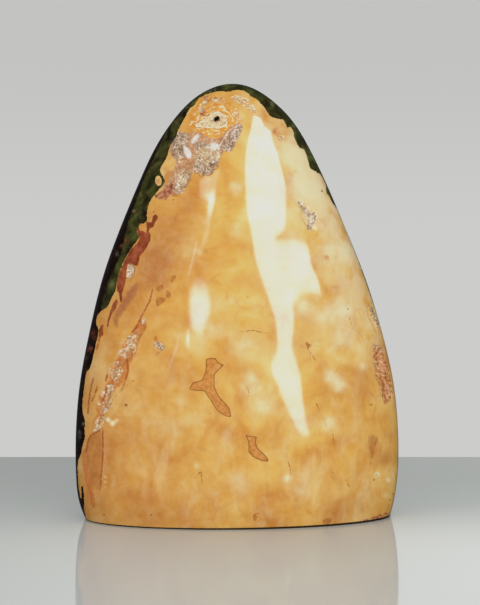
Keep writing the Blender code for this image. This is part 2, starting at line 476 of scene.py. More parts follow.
# Open lines: dark cracks and thin red-brown seams
lines = {
    # healed and open cracks
    "crack": (
        (138, 378, 131, 382, 121.6, 390.6, 114.7, 396, 111, 403.6, 106, 411),
        (159, 352.5, 151, 358),
        (225, 325, 231, 327, 236, 329.6, 243, 332, 252.6, 330, 263, 333, 271, 333),
        (309, 335, 307.6, 342),
        (307, 344, 312, 345, 317, 346),
        (307, 345, 309.6, 352, 314.6, 358.6),
        (350, 320, 354.6, 331, 362, 346),
        (317, 405, 319, 409.6),
        (320.6, 414, 324, 420, 326, 425),
        (333, 436, 334, 442.5),
        (377, 438, 373.7, 450, 370.4, 463, 371, 466),
        (347, 482, 349, 487, 351.4, 487, 352.4, 484),
        (196, 477, 201, 470, 202, 481),
        (246, 386, 249, 391, 248, 396),
        (288, 462, 291, 470, 290, 480),
        (226.6, 294, 226.6, 300),
    ),
    # seams
    "seam": (
        (152.4, 291, 150, 301, 145, 310, 140, 319, 136, 328, 133, 331),
        (102, 330, 99.6, 338, 97, 348),
        (102.4, 430, 103.2, 450, 101.6, 470, 100, 488),
        (98.4, 431, 92, 434, 88, 440, 86.6, 450),
        (127, 360, 128.4, 368, 126, 380, 122, 388),
        (106.4, 389, 105, 396, 102, 401),
        (108, 372, 106, 380),
        (93, 380, 89.4, 396, 88, 412),
        (97, 388, 92.6, 400),
    ),
}
# Soft spots: across, down, reach in pixels, strength
softSpots = {
    # pale clouds of the jasper, and painted glare beside the highlights
    "pale": (
        (206, 182, 7, 0.4), (207, 195, 6, 0.6), (205, 222, 5, 0.5), (199, 252, 5, 0.5),
        (300, 488, 18, 0.45), (240, 480, 16, 0.35), (242, 345, 16, 0.5), (165, 378, 22, 0.25),
        (223, 330, 10, 0.3), (212, 200, 4, 0.5), (237, 230, 9, 0.6), (340, 306, 12, 0.7),
        (321, 320, 9, 0.6), (346, 341, 11, 0.4), (330, 350, 6, 0.4), (303, 308, 10, 0.6),
        (363, 366, 6, 0.6), (329, 376, 8, 0.6), (340, 385, 9, 0.8), (249, 381, 12, 0.6),
        (262, 403, 17, 0.6), (226, 437, 10, 0.2), (220, 448, 7, 0.2), (182, 401, 6, 0.25),
        (187, 415, 11, 0.2), (197, 466, 4, 0.5), (219, 495, 4, 0.35), (287, 478, 4, 0.7),
        (246, 488, 14, 0.12), (143, 470.6, 8, 0.3), (108, 419.6, 2.4, 0.9), (112.6, 423.4, 2.8, 1.0),
        (117, 420.6, 2.2, 0.8), (125.6, 411, 4, 0.4), (105.4, 477, 1.6, 0.7), (105.2, 482, 1.6, 0.7),
        (105, 487, 1.5, 0.5), (300, 158, 16, 0.7), (311, 190, 17, 1.2), (285, 150, 12, 0.4),
        (236, 188, 9, 0.6), (296, 128, 7, 0.4), (377, 474, 3, 0.9), (388, 480, 3, 0.9), (347, 250, 11, 0.8),
        (330, 255, 12, 0.6), (327, 224, 8, 0.4), (300, 420, 18, 0.4), (330, 424, 11, 0.55),
        (205, 330, 14, 0.4), (270, 350, 16, 0.3), (318, 470, 20, 0.3), (123, 342, 6, 0.3),
        (345, 325, 18, 0.4), (300, 180, 12, 0.3), (205, 440, 12, 0.1), (217, 485, 12, 0.15),
        (386, 495, 5, 0.4),
    ),
    # darker stains
    "stain": (
        (158.4, 181, 2.6, 1.0), (165.6, 169, 2.6, 0.6), (170.4, 158, 2.4, 0.5), (360, 470, 12, 0.4),
        (384, 462, 7, 0.5), (154, 264, 17, 1.6), (165, 232, 22, 0.7), (190, 212, 18, 0.35),
        (147, 285, 11, 0.7), (180, 260, 16, 0.3), (163, 283, 7, 0.5), (116, 300, 9, 0.4),
        (112, 345, 9, 0.35), (163, 455, 14, 0.3), (130, 440, 22, 0.3), (150, 508, 18, 0.55),
        (110, 460, 14, 0.3), (180, 500, 14, 0.25), (100, 500, 10, 0.4), (292, 181, 6, 0.7),
        (275, 132, 3, 0.4), (326, 258, 3, 0.4), (240, 365, 8, 0.3), (300, 345, 12, 0.35),
        (330, 400, 14, 0.3), (370, 440, 16, 0.25), (386, 456, 8, 0.5), (270, 515, 20, 0.3),
        (330, 510, 20, 0.3), (200, 300, 12, 0.2), (175, 430, 12, 0.25), (280, 440, 14, 0.2),
        (372, 395, 8, 0.3), (360, 500, 20, 0.55), (335, 515, 14, 0.4), (95, 380, 8, 0.3), (190, 85, 6, 0.2),
        (150, 215, 8, 0.25), (185, 240, 16, 0.25),
    ),
    # pale flecks in the rind
    "paleFleck": (
        (210, 91, 1.1, 1.0), (215, 89.4, 0.9, 1.0), (79.6, 433, 1.7, 0.6), (79.4, 438, 1.3, 0.4),
        (83.8, 424, 1.6, 0.6), (133.6, 211, 1.3, 0.7), (141, 212, 1.2, 0.5), (117, 254, 1.6, 0.5),
        (112, 285, 2.4, 0.3), (271.6, 103.4, 1.1, 0.8), (85.4, 358, 2.0, 0.25), (187, 107, 1.0, 0.6),
        (177, 124, 1.2, 0.5), (83, 462, 1.5, 0.5),
    ),
    # rusty flecks in the rind
    "rustFleck": (
        (90, 349, 2.4, 1.0), (126.5, 240.6, 2.2, 0.8), (121.6, 246, 1.4, 0.8), (176, 122, 1.4, 0.5),
        (95, 338, 2.0, 0.5), (93, 333, 3.0, 0.4), (134.4, 211, 1.0, 0.6),
    ),
}
# Small dark dots: across, down, radius in pixels
darkDots = (
    (91.4, 494, 0.8), (91.6, 498.5, 0.8), (93.3, 506.6, 0.9), (104, 515, 0.84), (151.5, 515, 1.2),
    (126, 405, 1.6), (173.4, 200, 0.84), (153.4, 212, 0.9), (154.6, 238, 0.84), (261, 200, 0.8),
    (242, 198, 0.8), (286, 266, 0.8), (348, 309, 0.84), (248, 297, 0.8), (322, 191, 1.1), (263, 158, 0.84),
    (128, 338, 1.3), (118.6, 366, 0.84), (117.6, 370, 0.84), (156, 196, 1.8), (171.5, 187, 1.8),
    (85, 466, 0.84), (393, 494, 0.84), (390, 500, 0.9), (252, 489, 0.7), (377, 475, 0.84), (374, 480, 0.84),
    (333, 473, 0.8),
)


def pixelsOf(spots):
    # where the photograph's camera sees each point
    away = spots[:, 1] + photo["distance"]
    across = photo["wide"] / 2 + (spots[:, 0] - photo["across"]) * focal / away
    down = photo["high"] / 2 - (spots[:, 2] - photo["height"]) * focal / away
    return np.stack((across, down), axis=-1)


def rounded(outline, cut, closed=True):
    # cuts this share off the corners of a given outline
    line = np.reshape(outline, (-1, 2)).astype(float)
    ahead = np.roll(line, -1, axis=0) if closed else line[1:]
    start = line if closed else line[:-1]
    ends = (1 - cut) * start + cut * ahead, cut * start + (1 - cut) * ahead
    ends = np.stack(ends, axis=1).reshape(-1, 2)
    return ends if closed else np.concatenate((line[:1], ends[1:-1], line[-1:]))


def outlineGap(pixels, outline, cut):
    # pixels to a closed outline, less than nothing inside it; far off it is only roughly right
    line, far = rounded(outline, cut), photo["farPixels"]
    low, high = line.min(axis=0) - far, line.max(axis=0) + far
    near = np.all((pixels > low) & (pixels < high), axis=1)
    gap = np.full(len(pixels), float(far))
    x, y = pixels[near, 0], pixels[near, 1]
    nearest, inside = np.full(len(x), 1e9), np.zeros(len(x), bool)
    for (ax, ay), (bx, by) in zip(line, np.roll(line, -1, axis=0)):
        runX, runY, dx, dy = bx - ax, by - ay, x - ax, y - ay
        along = np.clip((dx * runX + dy * runY) / max(runX**2 + runY**2, 1e-12), 0, 1)
        nearest = np.minimum(nearest, (dx - along * runX) ** 2 + (dy - along * runY) ** 2)
        level = (ay > y) != (by > y)
        inside ^= level & (dx * (runY if runY else 1e-9) * np.sign(runY) < dy * runX * np.sign(runY))
    gap[near] = np.where(inside, -1, 1) * np.sqrt(nearest)
    return np.clip(gap, -far, far)


def seamFields(pixels, seams, far=3.0, near=4, felt=2.5):
    # which side of the nearest seam a point is on, in pixels, and how much of a seam is there
    side, shown = np.full(len(pixels), far), np.zeros(len(pixels))
    best = np.full(len(pixels), 1e9)
    for seam in seams:
        line = rounded(seam, unseen["softCorners"], closed=False)
        for (ax, ay), (bx, by) in zip(line[:-1], line[1:]):
            runX, runY, dx, dy = bx - ax, by - ay, pixels[:, 0] - ax, pixels[:, 1] - ay
            length = math.hypot(runX, runY)
            along = (dx * runX + dy * runY) / length
            across = (dx * runY - dy * runX) / length
            gap = np.hypot(across, np.maximum(np.maximum(-along, along - length), 0))
            take = (gap < best) & (gap < near)
            best[take] = gap[take]
            side[take] = across[take]
            shown[take] = np.clip(felt - gap[take], 0, 1)
    return side, shown


def spotStrength(pixels, spots):
    total = np.zeros(len(pixels))
    for x, y, reach, strength in spots:
        total += strength * np.exp(-((pixels - (x, y)) ** 2).sum(axis=1) / (reach * reach))
    return total


# Out of the photograph's sight the rind and its painted shade strip end in a wandering line behind the
# outline,
# in millimetres: where, and the waves it wanders by (reach, length, start)
unseen = {
    "rind": (3.6, ((1.6, 11, 0), (1.1, 4.3, 1), (0.6, 1.9, 2))),
    "night": (6.0, ((6.0, 23, 0), (3.5, 8.3, 1), (1.8, 3.1, 2))),
    "nightFade": 0.4,
    "footTall": 1.15,  # painted contact shadow: a dark band round the saw cut
    "footTilt": 4.0,  # how much thicker it is to the right
    "sharpCorners": 0.04,  # the shards keep their corners
    "softCorners": 0.22,
}
# Broad tone over the front, about a middle pixel: painted shade to the left and low down, and cream above
# right that is partly the jasper's own and partly painted glare round the highlight
broadTone = {
    "middle": (240, 300),
    "reach": (160, 220),
    "tan": (0.10, 0.55, 0.25),  # in the middle, what it falls by to the right, and what height counts
    "cream": (1.4, 0.45, 0.1),  # gain, how far down it reaches, and what height adds
}


def measure(spots):
    # every marking's gap at these points, in millimetres on the stone
    pixels = pixelsOf(spots)
    behind = (spots[:, 1] - form["slant"] * spots[:, 0]) * 1000
    front = behind < 0
    scale, far, up = photo["pixelMm"], photo["farPixels"], spots[:, 2] * 1000
    gaps = {}
    for name, outlines in zones.items():
        cut = unseen["sharpCorners" if name == "shard" else "softCorners"]
        gaps[name] = np.min([outlineGap(pixels, outline, cut) for outline in outlines], axis=0)
    jasper, night = gaps.pop("jasper") * scale, gaps.pop("night") * scale
    gaps["dots"] = np.min([np.hypot(*(pixels - (x, y)).T) - r for x, y, r in darkDots], axis=0)
    fields = {name: np.where(front, np.clip(gap, -far, far), far) * scale for name, gap in gaps.items()}
    past = {}
    for name in ("rind", "night"):
        start, waves = unseen[name]
        past[name] = behind - start - sum(reach * np.sin(up / length + turn) for reach, length, turn in waves)
    fields["rind"] = np.where(front, jasper, np.maximum(jasper, past["rind"]))
    fields["night"] = -night - unseen["nightFade"] * np.maximum(past["night"], 0)
    for name, seams in lines.items():
        side, felt = seamFields(pixels, seams)
        fields[name + "Side"] = side * scale
        fields[name + "Felt"] = np.where(front, felt, 0)
    for name, placed in softSpots.items():
        fields[name] = np.where(front, spotStrength(pixels, placed), 0)
    # painted contact shadow: a dark band up from the saw cut, taller to the right
    fields["foot"] = up - unseen["footTall"] - unseen["footTilt"] * spots[:, 0]
    across, above = ((pixels - broadTone["middle"]) / broadTone["reach"]).T * ((1,), (-1,))
    base, fall, tilt = broadTone["tan"]
    # painted shade: darker to the left and low down
    fields["tan"] = np.clip(base - fall * (across + tilt * above), 0, 1)
    # pale cream above right, partly the jasper's own and partly painted glare
    gain, foot, lift = broadTone["cream"]
    cream = gain * across * (foot + above) + lift * above
    fields["cream"] = np.clip(cream, 0, 1) * (above > -foot)
    return fields


def nearestOf(fields, *names):
    return np.min([fields[name] for name in names], axis=0)


def splitFaces(stone, wanted):
    # adds points where the markings or the crystals need them
    mesh = stone.data
    loops = valuesOf(mesh.loops, "vertex_index", 1, int)
    chosen = np.logical_or.reduceat(wanted[loops], valuesOf(mesh.polygons, "loop_start", 1, int))
    for items in (mesh.vertices, mesh.edges):
        items.foreach_set("select", np.zeros(len(items), bool))
    mesh.polygons.foreach_set("select", chosen)
    bpy.ops.object.mode_set(mode="EDIT")
    bpy.ops.mesh.select_mode(type="FACE")
    bpy.ops.mesh.subdivide(number_cuts=1, smoothness=0)
    bpy.ops.object.mode_set(mode="OBJECT")


def pitDepths(spots, pit, side):
    # how deep a pit is under each point, following the same ragged bowl as the solid's
    x, z, halfWidth, halfHeight, depth, turn = pit
    centre, outward = (Vector(row[0]) for row in facePoints(np.array([x]), np.array([z]), side))
    spin = Matrix.Rotation(math.radians(-turn), 3, "Y")
    local = (spots - np.array(centre)) @ np.array(outward.to_track_quat("-Y", "Z").to_matrix() @ spin)
    a, b = local[:, 0] / halfWidth, local[:, 2] / halfHeight
    far = np.hypot(a, b)
    deep = np.zeros(len(spots))
    for i in np.where(far < pits["near"])[0]:
        way = Vector((a[i], 0, b[i])) / max(far[i], 1e-6)
        reach = 1 + pits["ragged"] * noise.noise(pits["lumps"] * way + 100 * centre)
        deep[i] = depth * math.sqrt(max(1 - (far[i] / reach) ** 2, 0))
    return deep


def carve(stone):
    # sinks the pits and raises the crystals in them
    spots = verticesOf(stone)
    fields = measure(spots)
    normals = valuesOf(stone.data.vertex_normals, "vector")
    raw = np.maximum(nearestOf(fields, "druse", "white", "vug"), -fields["glint"])
    sunk = np.zeros(len(spots))
    for face, side in (("front", -1), ("back", 1)):
        for pit in pits[face]:
            centre = facePoints(np.array([pit[0]]), np.array([pit[1]]), side)[0][0]
            reach = pits["near"] * max(pit[2], pit[3])
            near = np.where(np.linalg.norm(spots - centre, axis=1) < reach)[0]
            sunk[near] = np.maximum(sunk[near], pitDepths(spots[near], pit, side))
    rough = np.where((raw < pits["rawPast"]) | (sunk > pits["shallow"]))[0]
    cells, clouds, coarse = pits["crystal"]
    for i in rough:
        place = Vector(spots[i]) / pits["grainSize"]
        crystal = noise.voronoi(place)[0][0] * cells + clouds * noise.noise(place * coarse)
        edge = min(max(0.5 - raw[i] / pits["rawRise"], 0.0), 1.0) if sunk[i] < pits["deep"] else 1.0
        sunk[i] += pits["grain"] * edge * max(crystal, 0)
    moveVertices(stone, spots - normals * sunk[:, None])


def markStone(stone):
    # writes every marking's gap on the mesh, for the material
    fields = measure(verticesOf(stone))
    for name, felt in fields.items():
        addLayer(stone, name, felt)
    return list(fields)


def linear(hexColour):
    parts = [int(hexColour[i : i + 2], 16) / 255 for i in (1, 3, 5)]
    return tuple(p / 12.92 if p <= 0.04045 else ((p + 0.055) / 1.055) ** 2.4 for p in parts) + (1.0,)


def addNode(tree, kind, inputs=None, **settings):
    # adds a node with its settings; an input is a value, a socket, or a node for its first output
    made = tree.nodes.new("ShaderNode" + kind)
    for name, value in settings.items():
        setattr(made, name, value)
    for key, value in (inputs or {}).items():
        if isinstance(value, bpy.types.Node):
            value = value.outputs[0]
        if isinstance(value, bpy.types.NodeSocket):
            tree.links.new(value, made.inputs[key])
        else:
            made.inputs[key].default_value = value
    return made


# Polished jasper: opaque microcrystalline quartz, lapped and polished to a glassy skin over soft
# clouds of colour; quartz reflects as IOR 1.54, and only the raw crystal pits scatter light.
jasperLook = {
    "ior": 1.54,
    "polish": 0.07,
    "rawRough": 0.55,
    "rawBump": 0.6,
    "bumpDeep": 0.0005,
    "warpScale": 60.0,
    "warpReach": 0.012,
    "wallMm": 19,  # the faint cell walls of the golden jasper
    "healedMm": 48,  # the healed cracks of the rind
    "streakTall": 0.22,
    "streakScale": 110.0,
    # random clouds: size in millimetres, detail, roughness, seed, distortion
    "clouds": {
        "gold": (26, 4, 0.5, 1, 0.4),
        "tanCloud": (18, 3, 0.6, 7, 0),
        "creamCloud": (16, 4, 0.55, 3, 0),
        "wallBreak": (22, 2, 0.5, 5, 0),
        "stainCloud": (7, 3, 0.6, 9, 0),
        "paleCloud": (9, 3, 0.5, 11, 0),
        "veil": (7, 5, 0.65, 13, 0),
        "tipCloud": (4, 3, 0.6, 16, 0),
        "waveCloud": (6.5, 4, 0.65, 18, 0),
        "rippleBreak": (3.5, 3, 0.6, 12, 0),
        "eyeCloud": (1.8, 2, 0.6, 19, 0),
        "shadeBreak": (2.6, 2, 0.6, 20, 0),
        "rimBreak": (3.2, 2, 0.6, 14, 0),
        "seamBreak": (3, 2, 0.6, 50, 0),
        "crackBreak": (2.2, 2, 0.6, 53, 0),
        "crackGap": (9, 1, 0.5, 54, 0),
        "rindCloud": (12, 6, 0.62, 61, 0.6),
        "broadPool": (55, 3, 0.5, 62, 0.5),
        "smallPool": (8, 5, 0.65, 64, 0),
        "healedBreak": (30, 3, 0.6, 66, 0),
        "greyFleck": (1.8, 3, 0.7, 63, 0),
        "rustPatch": (6, 4, 0.6, 65, 0),
        "nightCloud": (5, 5, 0.6, 69, 0.5),
        "paleFleckBreak": (1.6, 2, 0.6, 68, 0),
        "rustFleckBreak": (2.4, 2, 0.6, 70, 0),
        "bump": (0.9, 3, 0.6, 73, 0),
    },
    # a marking's gap made to wander: by how many millimetres, then the wander's own cloud
    "edges": {
        "tipZone": (6.5, (5, 3, 0.65, 15, 0)),
        "eye": (2.25, (2.2, 3, 0.65, 17, 0)),
        "seamSide": (1.6, (3, 3, 0.6, 49, 0)),
        "crackSide": (0.7, (2.5, 2, 0.6, 51, 0)),
        "dots": (2.25, (1.1, 3, 0.65, 55, 0)),
        "night": (2.5, (6, 3, 0.65, 67, 0)),
        "rind": (1.4, (2.4, 3, 0.65, 71, 0)),
    },
    # sums: a source, times this, plus a number or another source
    "sums": {
        "tanShare": ("tanCloud", 1, 0.25),
        "stainShare": ("stainCloud", 1, 0.35),
        "paleShare": ("paleCloud", 1.7, 0.05),
        "waveCloud": ("waveCloud", 26, 0),
        "wave": ("eyeEdge", 2, "waveCloud"),
        "smallPool": ("smallPool", 0.35, 0),
        "pools": ("broadPool", 0.65, "smallPool"),
        "eyeShade": ("eyeEdge", 1, -0.5),
        "shardLine": ("shardEdge", 1, 0.25),
    },
    # thin lines run where these are near nothing, on either side
    "folded": {
        "eyeShade": "eyeShade", "eyeRim": "eyeEdge", "shardLine": "shardLine",
        "seamLine": "seamSideEdge", "crackLine": "crackSideEdge",
    },
    # coats, each over the last: colour, share, and what it fades in by (source, nothing at, all at)
    # a colour is a hex or a cloud's colours: source, low, high, hexes
    "goldCoats": (
        (("gold", 0.32, 0.68, ("#c98a3e", "#d8a04b", "#e0af59", "#e6c37e")), 1.0),
        # painted shade: darker orange to the left and low down
        ("#bb7a3c", 1.0, ("tan",), ("tanShare",)),
        # pale cream above right, partly the jasper's own and partly painted glare round the highlight
        ("#eedcb2", 1.0, ("cream",), ("creamCloud", 0.3, 0.6)),
        ("#b3703a", 0.22, ("walls", 0.10, 0.0), ("wallBreak", 0.45, 0.65)),
        ("#b3703a", 0.9, ("stain",), ("stainShare",)),
        # pale clouds, partly the jasper's own and partly painted glare beside the highlights
        ("#ead9ae", 0.95, ("paleShown", 0.06, 0.95)),
        # faint upright streaks low down
        ("#ead9ae", 0.22, ("streak", 0.5, 0.72), ("up", 0.16, 0.04)),
        ("#b3703a", 0.2, ("streak", 0.48, 0.3), ("up", 0.16, 0.04)),
        ("#f0dca8", 0.12, ("veil", 0.35, 0.7)),
        # the orange zone round the hole at the tip, with thin wandering white seams
        (("tipCloud", 0.3, 0.7, ("#c97d30", "#d9943f", "#e3ad5c")), 0.9, ("tipZoneEdge", 2.2, -1.2)),
        (
            "#e3cfa5", 1.0, ("ripple", 0.3, 0.85), ("rippleBreak", 0.38, 0.5), ("tipZoneEdge", 2.2, -1.2),
            ("eyeEdge", 9.0, 5.0),
        ),
        (("eyeCloud", 0.3, 0.7, ("#b98a54", "#d9c19a", "#e6d6b4")), 1.0, ("eyeEdge", 0.2, -0.3)),
        ("#8a4526", 0.6, ("eyeShade", 0.45, 0.1), ("shadeBreak", 0.38, 0.52)),
        ("#efe4ca", 0.85, ("eyeRim", 0.5, 0.15), ("rimBreak", 0.36, 0.5)),
    ),
    # every marking's own clouds: size if it isn't the marking's, detail, roughness, seed past its first
    "firstSeed": 21,
    "seedStep": 4,
    "wander": (3, 0.65, 0),
    "grain": (3, 0.65, 1),
    "coarse": (5, 2, 0.5, 2),
    "dust": (0.8, 2, 0.6, 3),
    "break": (2.8, 3, 0.6, 3),
    "shares": {"Coarse": 0.38, "Dust": 0.25},  # how much each gives to the mixed grain
    # markings: edge softness, wander and its size, colours, their size and spread, share
    "markings": {
        "mauve": (1.5, 4.5, 4, ("#9d5f3c", "#b0714b"), 5, 0.12, 0.85),
        "brown": (1.4, 3.0, 3, ("#a5622e", "#bb7a42"), 5, 0.12, 0.7),
        "leaf": (0.25, 0.8, 2.0, ("#a3622c", "#b87c3e"), 2.5, 0.12, 0.85),
        "pocket": (0.6, 4.5, 2.2, ("#9a6446", "#b98a66", "#cfae8c"), 2.6, 0.12, 0.9),
        "red": (0.15, 1.5, 1.7, ("#753520", "#8c4128", "#9d5337"), 5, 0.12, 0.97),
        "rust": (0.4, 5.5, 2.2, ("#8c4630", "#a6644a", "#c48c68"), 2.4, 0.12, 0.9),
        "ember": (0.9, 4.0, 2.0, ("#b35a2a", "#c8773c"), 2.5, 0.12, 0.7),
        "shard": (0.12, 0.5, 2.0, ("#b97535", "#cf9250"), 3.0, 0.12, 0.95),
        "vug": (0.3, 4.0, 2.0, ("#8a4a20", "#bb7430", "#d08c46", "#e2b47c"), 2.0, 0.12, 0.95),
        "druse": (0.4, 6.5, 1.6, ("#60452f", "#9a7c5e", "#bca284", "#ddd2c1"), 1.3, 0.08, 0.9),
        "white": (0.4, 5.5, 1.6, ("#a46a38", "#c49c64", "#d3c096", "#e8dfce"), 1.4, 0.08, 0.9),
        # painted highlights inside the pocket
        "glint": (1.0, 2.0, 2.0, ("#dccfbf", "#ebe7e2"), 3, 0.12, 0.9),
    },
    "raw": ("vug", "druse", "white"),
    "mixedGrain": ("druse", "white", "pocket"),
    # the clumps of crystals break up into specks
    "broken": {"druse": (0.36, 0.44), "white": (0.36, 0.54)},
    "lineCoats": (
        ("#7c4a20", 0.75, ("shardLine", 0.55, 0.1)),
        ("#9f5229", 0.85, ("seamLine", 0.95, 0.3), ("seamFelt",), ("seamBreak", 0.3, 0.5)),
        (
            "#85552a", 0.85, ("crackLine", 0.5, 0.1), ("crackFelt",), ("crackBreak", 0.40, 0.58),
            ("crackGap", 0.3, 0.6),
        ),
        ("#6b3f1e", 0.8, ("dotsEdge", 0.25, -0.35)),
    ),
    # the dark green rind; away from its seam it darkens into broad pools, with healed cracks
    "rindCoats": (
        (("rindCloud", 0.34, 0.68, ("#15130a", "#2d2b12", "#43431f", "#58612f")), 1.0),
        (("pools", 0.38, 0.62, ("#0d0b07", "#1d1c0d", "#33371a", "#4c5a2a")), 1.0, ("rind", 9.0, 24.0)),
        ("#6d6440", 0.35, ("healed", 0.012, 0.003), ("healedBreak", 0.52, 0.62), ("rind", 9.0, 24.0)),
        ("#98a380", 0.55, ("greyFleck", 0.68, 0.74)),
        ("#7a4128", 0.6, ("rustPatch", 0.66, 0.72)),
        # painted shade: the near-black strip along the left edge, where the side turns away from the light
        (("nightCloud", 0.4, 0.75, ("#0b0302", "#1c0905", "#2e2413")), 1.0, ("nightEdge", -0.8, 0.8)),
        ("#a5a692", 0.6, ("paleFleck",), ("paleFleckBreak", 0.36, 0.54)),
        ("#8a4a32", 1.0, ("rustFleck",), ("rustFleckBreak", 0.36, 0.54)),
    ),
    "rindFade": ("rindEdge", -0.18, 0.18),
    # painted shade: the near-black inside the hole near the tip, and the painted contact shadow round the saw
    # cut
    "lastCoats": (
        ("#050302", 1.0, ("hole", 0.3, -0.3)),
        ("#0c0a07", 0.95, ("foot", 0.25, -0.1)),
    ),
}


def jasperMaterial(fields):
    look = jasperLook
    material = bpy.data.materials.new("polishedJasperSkin")
    material.use_nodes = True
    tree = material.node_tree
    shader = tree.nodes["Principled BSDF"]
    place = addNode(tree, "TexCoord").outputs["Object"]
    # what the colours follow, by name: first the gaps measured on the mesh
    felt = {name: addNode(tree, "Attribute", attribute_name=name).outputs["Fac"] for name in fields}

    clouds, sums = dict(look["clouds"]), {}
    edges = dict(look["edges"])
    for number, (name, (_, wander, wanderMm, _, grainMm, _, _)) in enumerate(look["markings"].items()):
        kinds = {"Wander": (wanderMm, *look["wander"]), "Grain": (grainMm, *look["grain"])}
        if name in look["mixedGrain"]:
            kinds.update({"Coarse": look["coarse"], "Dust": look["dust"]})
            for part, result in (("Coarse", "Grain"), ("Dust", "Mixed")):
                share = look["shares"][part]
                sums[name + part] = (name + part, share, 0)
                sums[name + result] = (name + "Grain", 1 - share, name + part)
        if name in look["broken"]:
            kinds["Break"] = look["break"]
        seed = look["firstSeed"] + look["seedStep"] * number
        clouds.update({name + kind: (*cloud[:-1], seed + cloud[-1], 0) for kind, cloud in kinds.items()})
        edges[name] = (wander, clouds[name + "Wander"])
    for name, (wander, cloud) in edges.items():
        clouds[name + "Wander"] = cloud
        sums[name + "Wander"] = (name + "Wander", wander, -wander / 2)
        sums[name + "Edge"] = (name, 1, name + "Wander")
    for name, (mm, detail, rough, seed, distortion) in clouds.items():
        spot = addNode(tree, "VectorMath", {0: place, 1: (seed, 2 * seed, -seed)}, operation="ADD")
        inputs = {"Vector": spot, "Scale": 1000 / mm, "Detail": detail, "Roughness": rough}
        felt[name] = addNode(tree, "TexNoise", {**inputs, "Distortion": distortion})
    for name, (source, times, plus) in {**sums, **look["sums"]}.items():
        inputs = {0: felt[source], 1: times, 2: felt.get(plus, plus)}
        felt[name] = addNode(tree, "Math", inputs, operation="MULTIPLY_ADD")
    for name, source in look["folded"].items():
        felt[name] = addNode(tree, "Math", {0: felt[source]}, operation="ABSOLUTE")
    felt["ripple"] = addNode(tree, "Math", {0: felt["wave"]}, operation="SINE")
    inputs = {0: felt["pale"], 1: felt["paleShare"]}
    felt["paleShown"] = addNode(tree, "Math", inputs, operation="MULTIPLY", use_clamp=True)
    felt["up"] = addNode(tree, "SeparateXYZ", {0: place}).outputs["Z"]
    # cell walls and upright streaks follow a gently bent space
    warp = addNode(tree, "TexNoise", {"Vector": place, "Scale": look["warpScale"], "Detail": 2.0})
    reach = (look["warpReach"],) * 3
    inputs = {0: warp.outputs["Color"], 1: reach, 2: place}
    bent = addNode(tree, "VectorMath", inputs, operation="MULTIPLY_ADD")
    for name, mm in (("walls", look["wallMm"]), ("healed", look["healedMm"])):
        inputs = {"Vector": bent, "Scale": 1000 / mm}
        felt[name] = addNode(tree, "TexVoronoi", inputs, feature="DISTANCE_TO_EDGE")
    tall = addNode(tree, "VectorMath", {0: bent, 1: (1.0, 1.0, look["streakTall"])}, operation="MULTIPLY")
    felt["streak"] = addNode(tree, "TexNoise", {"Vector": tall, "Scale": look["streakScale"], "Detail": 3.0})

    def coat(under, over, share, *terms):
        # lays a colour over another where every term fades in; gives the new colour and the mask
        mask = 1.0
        for term in terms:
            part = felt[term[0]]
            if len(term) == 3:
                inputs = {"Value": part, "From Min": term[1], "From Max": term[2]}
                part = addNode(tree, "MapRange", inputs, interpolation_type="SMOOTHSTEP")
            last = term is terms[-1]
            mask = addNode(tree, "Math", {0: mask, 1: part}, operation="MULTIPLY", use_clamp=last)
        mask = addNode(tree, "Math", {0: mask, 1: share}, operation="MULTIPLY")
        if isinstance(over, str):
            over = linear(over)
        elif isinstance(over, tuple):
            source, low, high, hexes = over
            ramp = addNode(tree, "ValToRGB", {"Fac": felt[source]})
            stops = ramp.color_ramp.elements
            for i, shade in enumerate(hexes):
                at = low + (high - low) * i / (len(hexes) - 1)
                stop = stops[i] if i < 2 else stops.new(at)
                stop.position, stop.color = at, linear(shade)
            over = ramp.outputs["Color"]
        return addNode(tree, "Mix", {0: mask, 6: under, 7: over}, data_type="RGBA").outputs[2], mask

    colour = linear("#000000")
    for over, share, *terms in look["goldCoats"]:
        colour, _ = coat(colour, over, share, *terms)
    raw = 0.0
    for name, (soft, _, _, hexes, _, spread, share) in look["markings"].items():
        grain = name + ("Mixed" if name in look["mixedGrain"] else "Grain")
        terms = [(name + "Edge", soft, -soft)]
        if name in look["broken"]:
            terms.append((name + "Break", *look["broken"][name]))
        colour, mask = coat(colour, (grain, 0.5 - spread, 0.5 + spread, hexes), share, *terms)
        if name in look["raw"]:
            raw = addNode(tree, "Math", {0: raw, 1: mask}, operation="MAXIMUM")
        # the painted highlights in the pocket stay polished
        if name == "glint":
            smooth = addNode(tree, "Math", {0: 1.0, 1: mask}, operation="SUBTRACT")
            raw = addNode(tree, "Math", {0: raw, 1: smooth}, operation="MULTIPLY")
    for over, share, *terms in look["lineCoats"]:
        colour, _ = coat(colour, over, share, *terms)
    rind = linear("#000000")
    for over, share, *terms in look["rindCoats"]:
        rind, _ = coat(rind, over, share, *terms)
    colour, _ = coat(colour, rind, 1.0, look["rindFade"])
    for over, share, *terms in look["lastCoats"]:
        colour, _ = coat(colour, over, share, *terms)

    rough = addNode(tree, "MapRange", {"Value": raw, "To Min": look["polish"], "To Max": look["rawRough"]})
    strength = addNode(tree, "Math", {0: raw, 1: look["rawBump"]}, operation="MULTIPLY")
    bump = addNode(tree, "Bump", {"Height": felt["bump"], "Strength": strength, "Distance": look["bumpDeep"]})
    tree.links.new(colour, shader.inputs["Base Color"])
    tree.links.new(rough.outputs[0], shader.inputs["Roughness"])
    tree.links.new(bump.outputs[0], shader.inputs["Normal"])
    shader.inputs["IOR"].default_value = look["ior"]
    shader.inputs["Metallic"].default_value = 0.0
    return material


